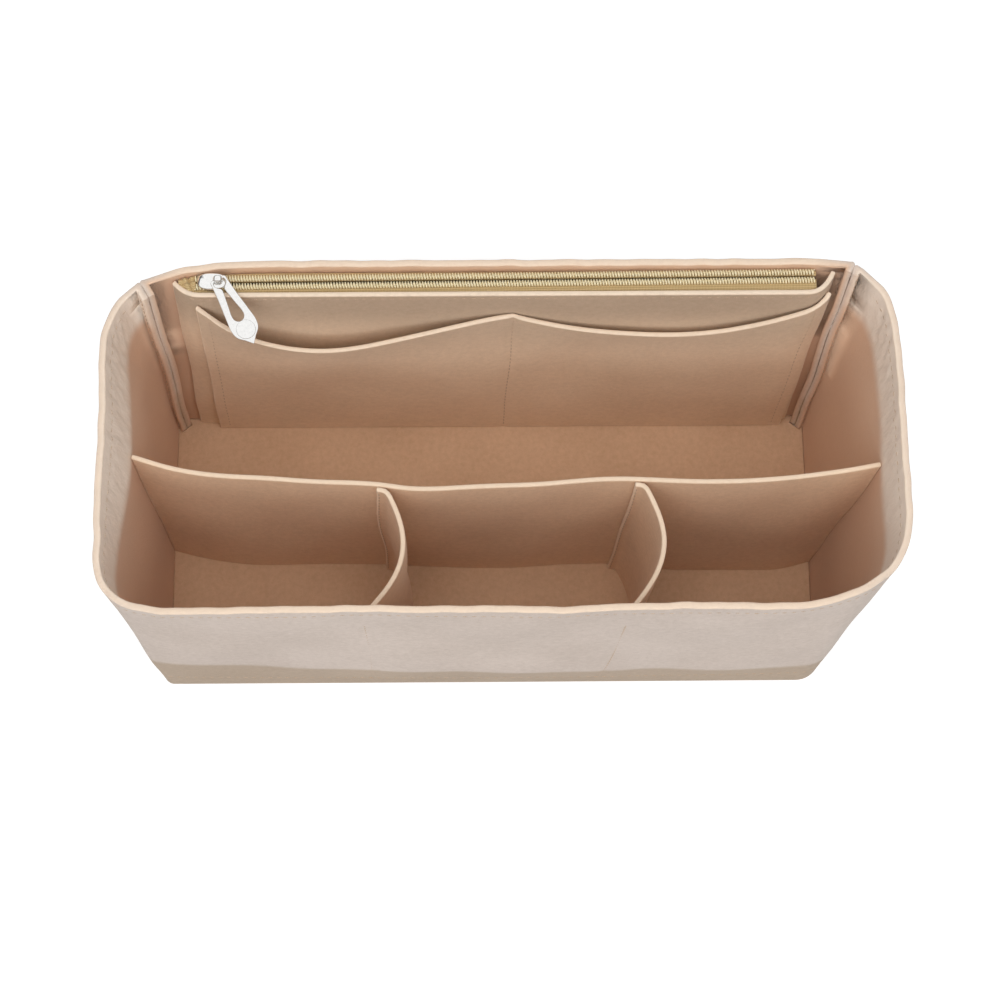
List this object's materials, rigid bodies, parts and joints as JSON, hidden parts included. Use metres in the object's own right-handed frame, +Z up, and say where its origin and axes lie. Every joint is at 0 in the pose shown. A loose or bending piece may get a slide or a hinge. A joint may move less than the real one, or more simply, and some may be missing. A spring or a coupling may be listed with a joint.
{
  "type": "purse organizer insert",
  "caption": "Soft felt tray insert that divides a handbag: a long divider, cross dividers, scalloped slip pockets and a zipped pouch along the back wall.",
  "frame": {"origin": "middle of the underside of the base", "axes": "+X to the right along the long side, seen from the front; +Y to the back, where the zipped pouch is; +Z up"},
  "size_m": [0.3195, 0.147, 0.1524],
  "materials": {
    "outer_felt": "matte felt",
    "felt": "matte felt",
    "zip_tape": "woven matte",
    "zip_coil": "satin",
    "chrome": "polished",
    "thread": "matte"
  },
  "bodies": {
    "insert_body": {"wraparound_wall": "outer_felt", "back_wall": "outer_felt", "floor_panel": "felt", "long_divider": "felt", "left_cross_divider": "felt", "right_cross_divider": "felt", "zip_pocket_panel": "felt", "slip_pocket_panel": "felt", "zip_tape_rear": "zip_tape", "zip_tape_front": "zip_tape", "zip_coil_rear": "zip_coil", "zip_coil_front": "zip_coil", "rim_stitch_wraparound": "thread", "rim_stitch_back": "thread", "base_stitch_wraparound": "thread", "base_stitch_back": "thread", "left_cross_divider_seam": "thread", "right_cross_divider_seam": "thread", "long_divider_seam_left": "thread", "long_divider_seam_right": "thread", "left_flange_seam": "thread", "right_flange_seam": "thread", "slip_pocket_seam_left": "thread", "slip_pocket_seam_centre": "thread", "slip_pocket_seam_right": "thread", "zip_tape_stitch": "thread", "corner_seam_left": "thread", "corner_seam_right": "thread"},
    "slider_body": {"zip_slider": "chrome"},
    "tab_body": {"pull_tab": "chrome"}
  },
  "joints": [
    {"name": "slider_travel", "type": "slide", "parent": "insert_body", "child": "slider_body", "axis": [1, 0.0072, 0], "range_m": [0, 0.236]},
    {"name": "pull_tab_swing", "type": "hinge", "parent": "slider_body", "child": "tab_body", "pos_m": [-0.11, 0.06908, 0.1504], "axis": [-0.866, -0.5, 0], "range_deg": [0, 188]}
  ]
}
